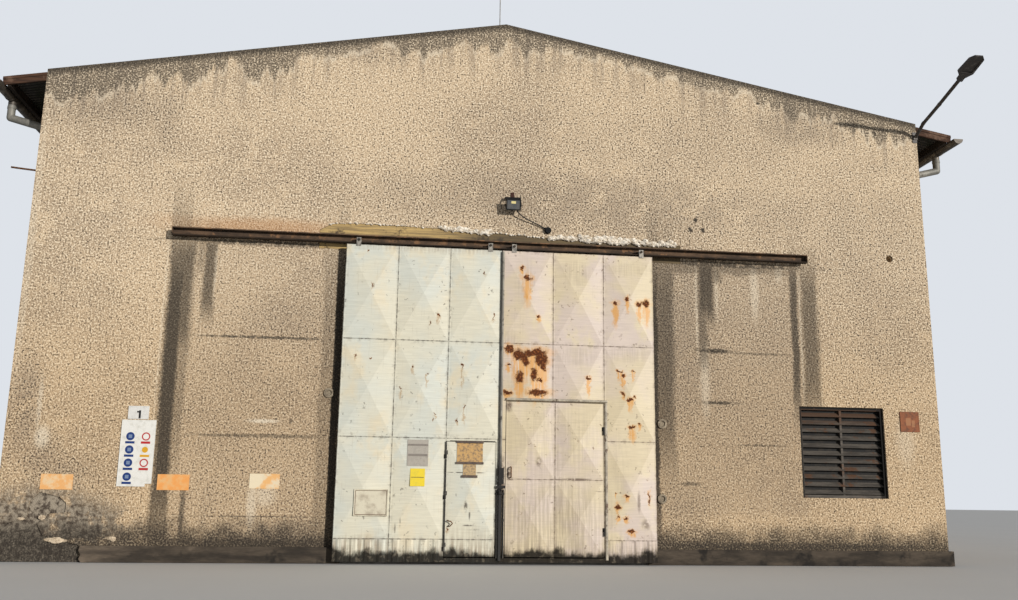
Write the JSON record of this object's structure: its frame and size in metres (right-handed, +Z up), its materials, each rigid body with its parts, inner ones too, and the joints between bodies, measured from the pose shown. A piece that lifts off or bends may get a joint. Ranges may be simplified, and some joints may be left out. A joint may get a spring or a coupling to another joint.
{
  "type": "factory hall with sliding gate",
  "caption": "Single-storey industrial hall with rendered gable front, corrugated roof, gutters and a two-leaf sliding steel gate with small hinged doors.",
  "frame": {"origin": "centre of the plan at ground level, on the underside of the floor slab", "axes": "+X to the right as seen from the front, +Y from the gated front to the back wall, +Z up"},
  "size_m": [13.31, 25.7259, 8.1955],
  "materials": {
    "render": "rough pebbledash",
    "floor_concrete": "power-floated, worn",
    "pier_concrete": "board-marked",
    "plinth_concrete": "weathered, dirty",
    "roof_sheet": "aged brown coating",
    "verge_timber": "dark brown stain, worn",
    "roof_timber": "dark, dry",
    "truss_steel": "grey primer, dusty",
    "gutter_metal": "aged, dull",
    "pipe_metal": "grey, aged",
    "rail_steel": "rusted brown",
    "board_timber": "sun-bleached, cracked",
    "lamp_black": "black powder coat",
    "lamp_grey": "dark grey coat",
    "louvre_metal": "grey paint with rust",
    "rod_metal": "galvanised",
    "gate_frame_paint": "worn paint on steel",
    "gate_panel_paint": "cream paint, rust spots",
    "fitting_steel": "dark steel, greasy"
  },
  "bodies": {
    "hall": {"floor_slab": "floor_concrete", "front_wall_left": "render", "front_wall_right": "render", "front_gable": "render", "back_wall": "render", "left_wall": "render", "right_wall": "render", "inner_piers": "pier_concrete", "plinth_front": "plinth_concrete", "plinth_sides": "plinth_concrete", "roof_left": "roof_sheet", "roof_right": "roof_sheet", "ridge_cap": "roof_sheet", "verge_boards": "verge_timber", "eaves_frame_left": "roof_timber", "eaves_frame_right": "roof_timber", "purlins_left": "roof_timber", "purlins_right": "roof_timber", "roof_trusses": "truss_steel", "gutter_left": "gutter_metal", "gutter_right": "gutter_metal", "gutter_brackets": "gutter_metal", "downpipe_left": "pipe_metal", "downpipe_right": "pipe_metal", "gate_rail": "rail_steel", "rail_brackets": "rail_steel", "lintel_board": "board_timber", "floodlight": "lamp_black", "junction_box": "lamp_black", "lamp_arm": "lamp_grey", "lamp_head": "lamp_grey", "front_louvre": "louvre_metal", "side_louvres": "louvre_metal", "lightning_rod": "rod_metal"},
    "left_leaf": {"left_leaf_frame": "gate_frame_paint", "hatch_surround": "gate_frame_paint", "left_leaf_panels": "gate_panel_paint", "left_leaf_fittings": "fitting_steel"},
    "hatch_door": {"hatch_frame": "gate_frame_paint", "hatch_panels": "gate_panel_paint", "hatch_hinges": "fitting_steel"},
    "right_leaf": {"right_leaf_frame": "gate_frame_paint", "right_leaf_panels": "gate_panel_paint", "right_leaf_fittings": "fitting_steel", "meeting_strip": "gate_frame_paint"},
    "wicket_door": {"wicket_frame": "gate_frame_paint", "wicket_panels": "gate_panel_paint", "wicket_hinges": "fitting_steel"}
  },
  "joints": [
    {"name": "left_leaf_slide", "type": "slide", "parent": "hall", "child": "left_leaf", "axis": [-1, 0, 0], "range_m": [0, 2]},
    {"name": "hatch_hinge", "type": "hinge", "parent": "left_leaf", "child": "hatch_door", "pos_m": [-0.69767, -12.165, 0.8], "axis": [0, 0, -1], "range_deg": [0, 100]},
    {"name": "right_leaf_slide", "type": "slide", "parent": "hall", "child": "right_leaf", "axis": [1, 0, 0], "range_m": [0, 2]},
    {"name": "wicket_hinge", "type": "hinge", "parent": "right_leaf", "child": "wicket_door", "pos_m": [1.31333, -12.165, 1], "axis": [0, 0, 1], "range_deg": [0, 100]}
  ]
}
